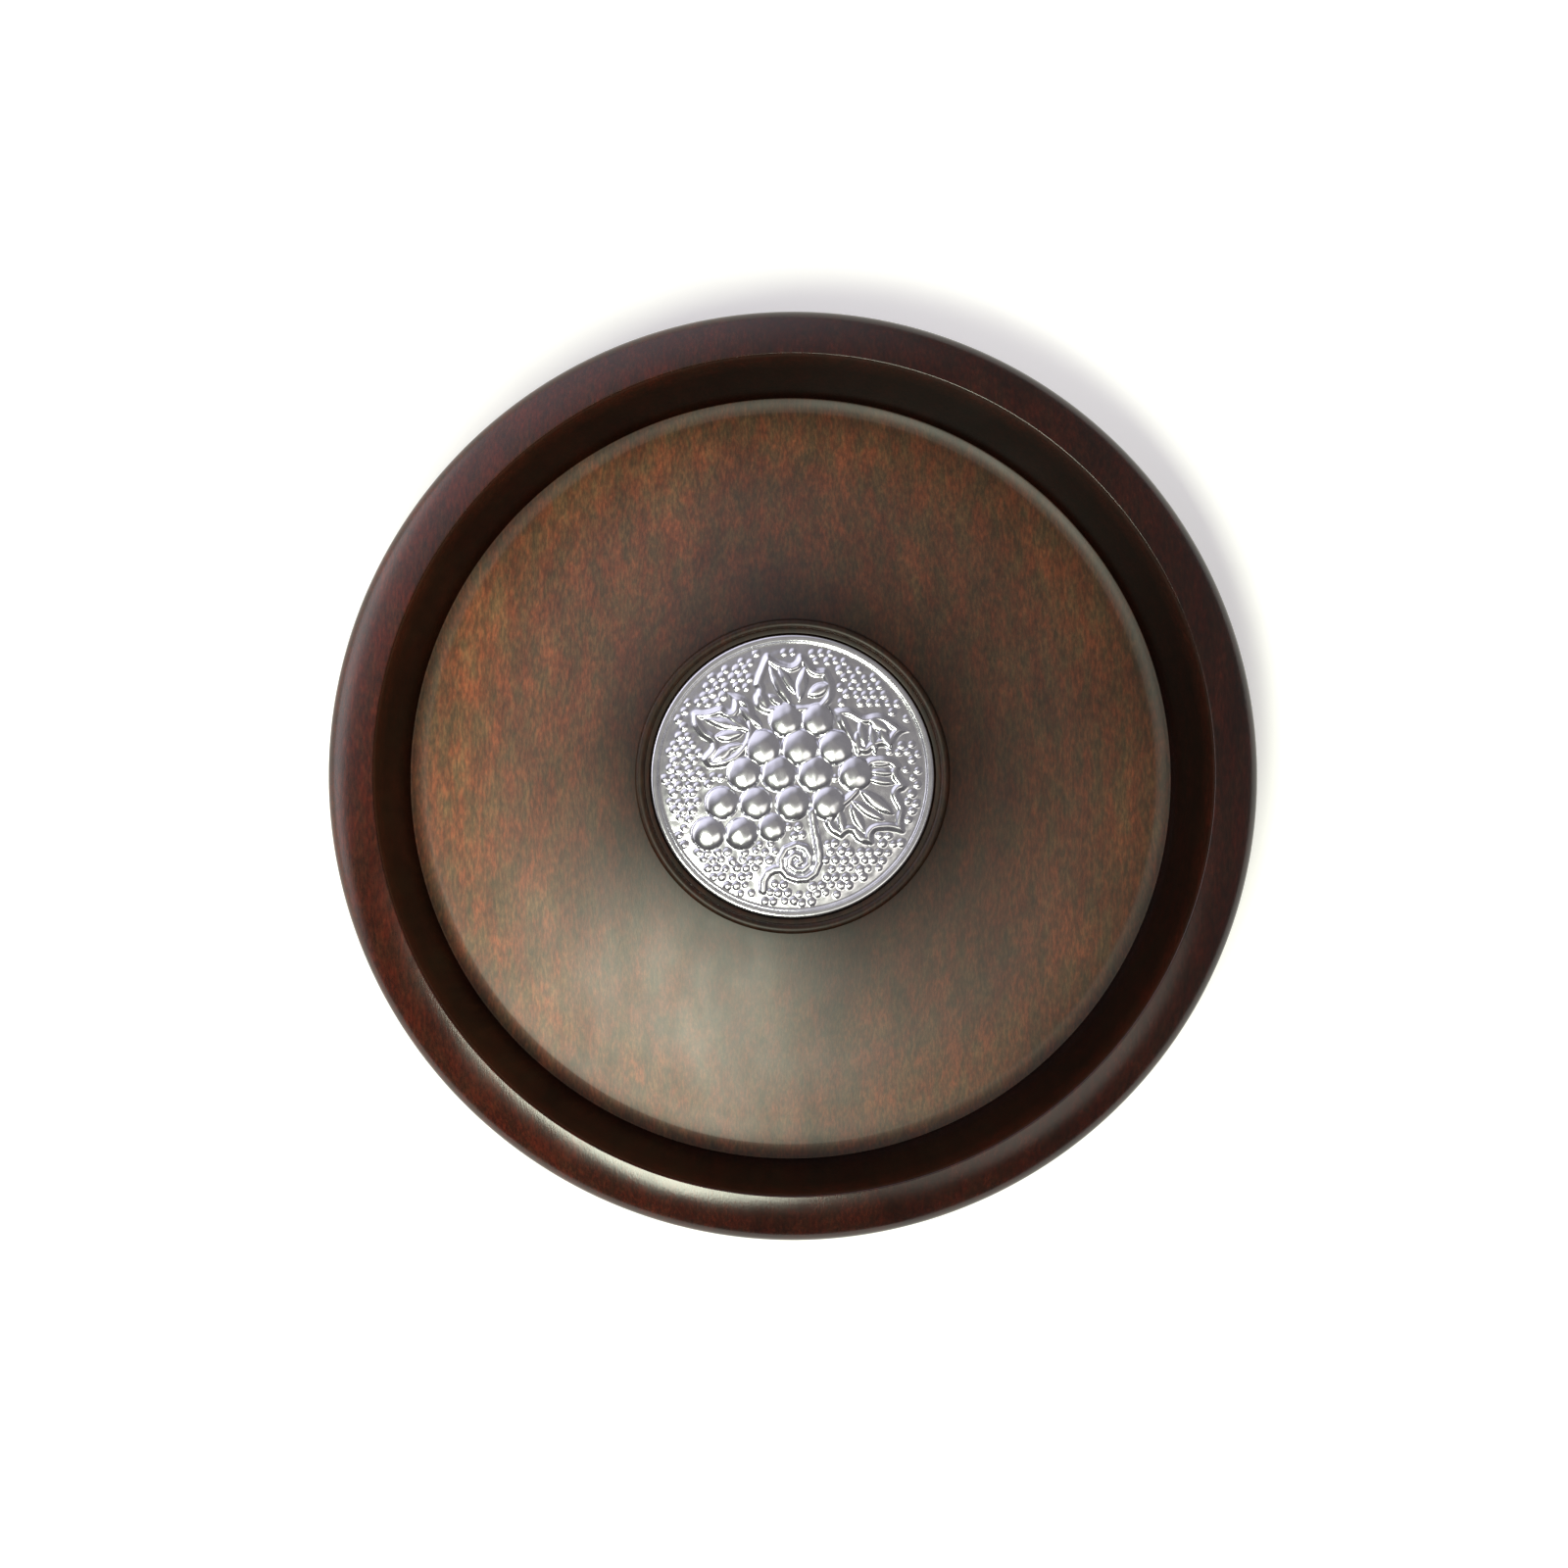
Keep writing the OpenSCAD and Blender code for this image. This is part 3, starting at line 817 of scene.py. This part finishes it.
def all_pieces():
    """Builds the pieces that are seen, and gives the hidden CAD nodes their materials."""
    floor = turned("turned_floor", disc_profile(), WOOD_TURNS, WOOD_CORNER)
    rim = turned("turned_rim", closed(ring_profile()), WOOD_TURNS, WOOD_CORNER)
    dress(floor, floor_wood(), "floor_disc")
    dress(rim, rim_wood(), "rim_ring")
    dress(medallion(), silver(), "medallion_face")
    base = turned("felt_base", felt_profile(), SMALL_TURNS, FELT_CORNER)
    dress(base, felt(), "base_felt")
    cast = filler("cast_filler", (0.58, 0.53, 0.45), (0.72, 0.68, 0.60), 0.6)
    foam = filler("foam_pad", (0.80, 0.80, 0.78), (0.90, 0.90, 0.88), 0.9)
    finish_cad_node("medallion_core", cast)
    finish_cad_node("medallion_pad", foam)


# ---------------------------------------------------------------- stage, light and camera
def paper_floor():
    """A flat, square sheet under the plate."""
    half, cells = 3.0, 24
    steps = np.linspace(-half, half, cells + 1)
    verts = [(x, y, 0.0) for y in steps for x in steps]
    row = cells + 1
    faces = [(j * row + i, j * row + i + 1, (j + 1) * row + i + 1, (j + 1) * row + i)
             for j in range(cells) for i in range(cells)]
    obj = new_object("paper_floor", verts, faces)
    obj.data.materials.append(paper())


def direction(azimuth, off_vertical):
    """A unit vector; the azimuth runs anticlockwise from +X, in degrees."""
    a, t = math.radians(azimuth), math.radians(off_vertical)
    return Vector((math.sin(t) * math.cos(a), math.sin(t) * math.sin(a), math.cos(t)))


def softbox(name, azimuth, off_vertical, distance, size, spin, power, colour):
    """A rectangular area light that faces the plate, turned by a spin about its own axis."""
    light = bpy.data.lights.new(name, "AREA")
    light.shape = "RECTANGLE"
    light.size, light.size_y = size
    light.energy = power
    light.color = colour
    obj = bpy.data.objects.new(name, light)
    place = direction(azimuth, off_vertical) * distance
    obj.location = place
    obj.rotation_mode = "QUATERNION"
    turn = Quaternion((0, 0, 1), math.radians(spin))
    obj.rotation_quaternion = (-place).to_track_quat("-Z", "Y") @ turn
    bpy.context.scene.collection.objects.link(obj)


def towards(tree, azimuth, off_vertical, inner, outer):
    """1 within a cone of directions about one direction, falling to 0 at its outer angle."""
    coords = add(tree, "ShaderNodeTexCoord")
    dot = add(tree, "ShaderNodeVectorMath", operation="DOT_PRODUCT")
    tree.links.new(coords.outputs["Generated"], dot.inputs[0])
    dot.inputs[1].default_value = direction(azimuth, off_vertical)
    fall = add(tree, "ShaderNodeMapRange", interpolation_type="SMOOTHSTEP")
    tree.links.new(dot.outputs["Value"], fall.inputs["Value"])
    fall.inputs["From Min"].default_value = math.cos(math.radians(outer))
    fall.inputs["From Max"].default_value = math.cos(math.radians(inner))
    return fall.outputs["Result"]


# Pale and dark parts of the room: direction, angles within which each is full and beyond which
# it is gone, all in degrees, and its light. Later ones lie over earlier ones.
ROOM = (0.11, 0.105, 0.105)
ROOM_PARTS = [
    ((30, 55), (10, 75), (0.24, 0.23, 0.23)),        # paler wall on the upper right
    ((128, 74), (10, 62), (1.12, 1.10, 1.24)),       # broad cool panel on the upper left
    ((165, 92), (14, 42), (2.8, 2.75, 2.8)),         # bright strip low on the left
    ((316, 30), (3, 19), (1.7, 1.65, 1.45)),         # small warm panel on the lower right
    ((45, 4), (16, 22), (0.29, 0.275, 0.26)),        # dim patch overhead
]


def studio_world():
    """A dim room with a few pale panels, which the metal and the lacquer mirror."""
    world = bpy.data.worlds.new("studio")
    bpy.context.scene.world = world
    world.use_nodes = True
    tree = world.node_tree
    shade = ROOM
    for place, angles, light in ROOM_PARTS:
        shade = mix(tree, towards(tree, *place, *angles), shade, light)
    tree.links.new(shade, tree.nodes["Background"].inputs["Color"])
    tree.nodes["Background"].inputs["Strength"].default_value = 1.0


def camera():
    """Looks straight down from a little to the lower left; the lens shift brings the plate back."""
    distance = 1.0
    aside = Vector((-0.039, -0.042, 0))
    frame_width = 0.5151                  # width of the picture at the height of the rim
    sensor = 36                           # mm
    plate_left, plate_down = -0.005625, -0.005125   # plate's place, in widths of the picture
    data = bpy.data.cameras.new("camera")
    data.sensor_width = sensor
    data.lens = sensor * distance / frame_width
    data.shift_x = -aside.x / frame_width + plate_left
    data.shift_y = -aside.y / frame_width + plate_down
    data.clip_start, data.clip_end = 0.01, 20
    obj = bpy.data.objects.new("camera", data)
    obj.location = aside + Vector((0, 0, ROLL_Z + distance))
    bpy.context.scene.collection.objects.link(obj)
    bpy.context.scene.camera = obj


all_pieces()
paper_floor()
studio_world()
softbox("key", azimuth=245, off_vertical=27, distance=2.0, size=(0.95, 0.52), spin=-32, power=37.5,
        colour=(0.95, 0.99, 0.80))
camera()
bpy.context.scene.view_settings.view_transform = "Standard"
